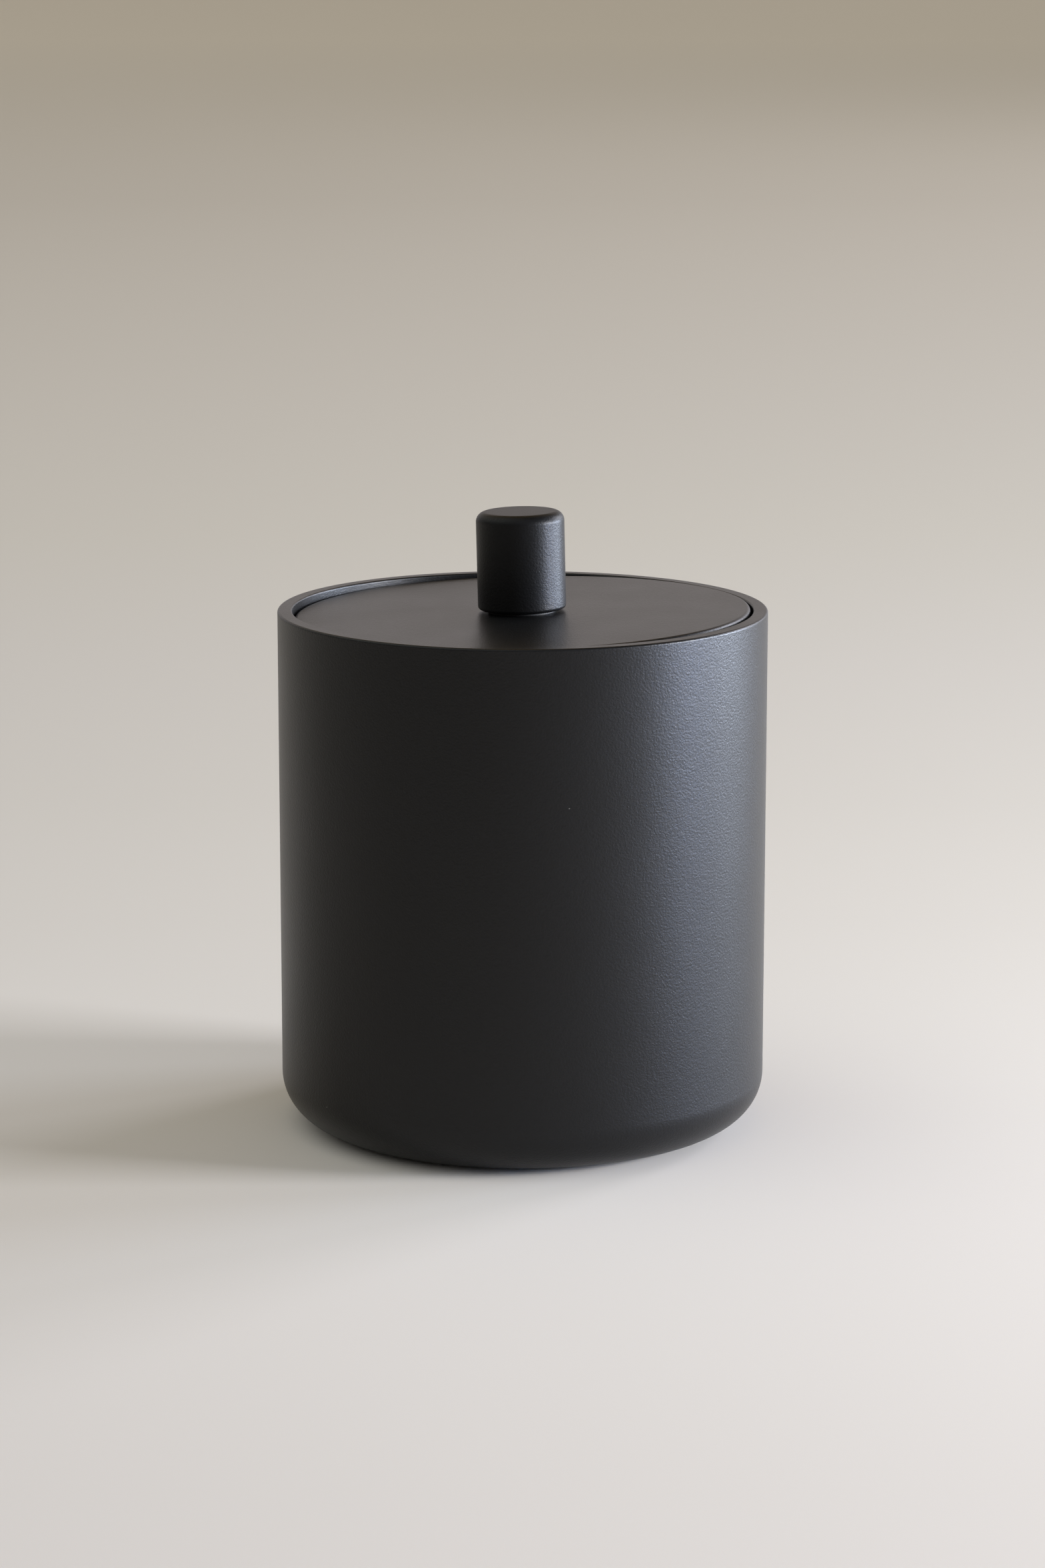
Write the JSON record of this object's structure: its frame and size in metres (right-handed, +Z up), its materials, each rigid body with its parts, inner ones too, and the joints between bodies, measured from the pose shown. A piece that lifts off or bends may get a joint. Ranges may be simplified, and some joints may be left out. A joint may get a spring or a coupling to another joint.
{
  "type": "candle tin",
  "caption": "Round double-walled tin with a rounded base, a push-in lid with a centre knob, and a poured candle inside.",
  "frame": {"origin": "centre of the face that the tin stands on, on the tin's axis", "axes": "+Z up along the tin's axis, towards the knob; the lid's low side is at -X and its high side at +X"},
  "size_m": [0.1, 0.1, 0.1271],
  "materials": {
    "coat": "matte",
    "liner_steel": "satin",
    "cork": "matte",
    "pad_foam": "matte",
    "wax": "satin",
    "wick_cotton": "matte",
    "tab_steel": "satin",
    "sticker_foam": "matte",
    "pan_steel": "satin",
    "seal_rubber": "matte",
    "washer_black": "matte",
    "screw_steel": "satin"
  },
  "bodies": {
    "tin": {"outer_shell": "coat", "inner_liner": "liner_steel", "liner_pad": "cork", "base_pad": "pad_foam", "wax_fill": "wax", "wick_1": "wick_cotton", "wick_2": "wick_cotton", "wick_3": "wick_cotton", "wick_tab_1": "tab_steel", "wick_tab_2": "tab_steel", "wick_tab_3": "tab_steel", "wick_sticker_1": "sticker_foam", "wick_sticker_2": "sticker_foam", "wick_sticker_3": "sticker_foam"},
    "seal": {"lid_seal": "seal_rubber"},
    "lid": {"lid_cover": "coat", "lid_pan": "pan_steel", "knob": "coat", "knob_washer": "washer_black", "knob_screw": "screw_steel", "spring_washer": "screw_steel"}
  },
  "joints": [
    {"name": "lid_lift", "type": "slide", "parent": "tin", "child": "seal", "axis": [0, 0, 1], "range_m": [0, 0.08]},
    {"name": "lid_turn", "type": "hinge", "parent": "seal", "child": "lid", "pos_m": [0, 0, 0.10228], "axis": [-0.0236, 0, 0.9997], "continuous": true}
  ]
}
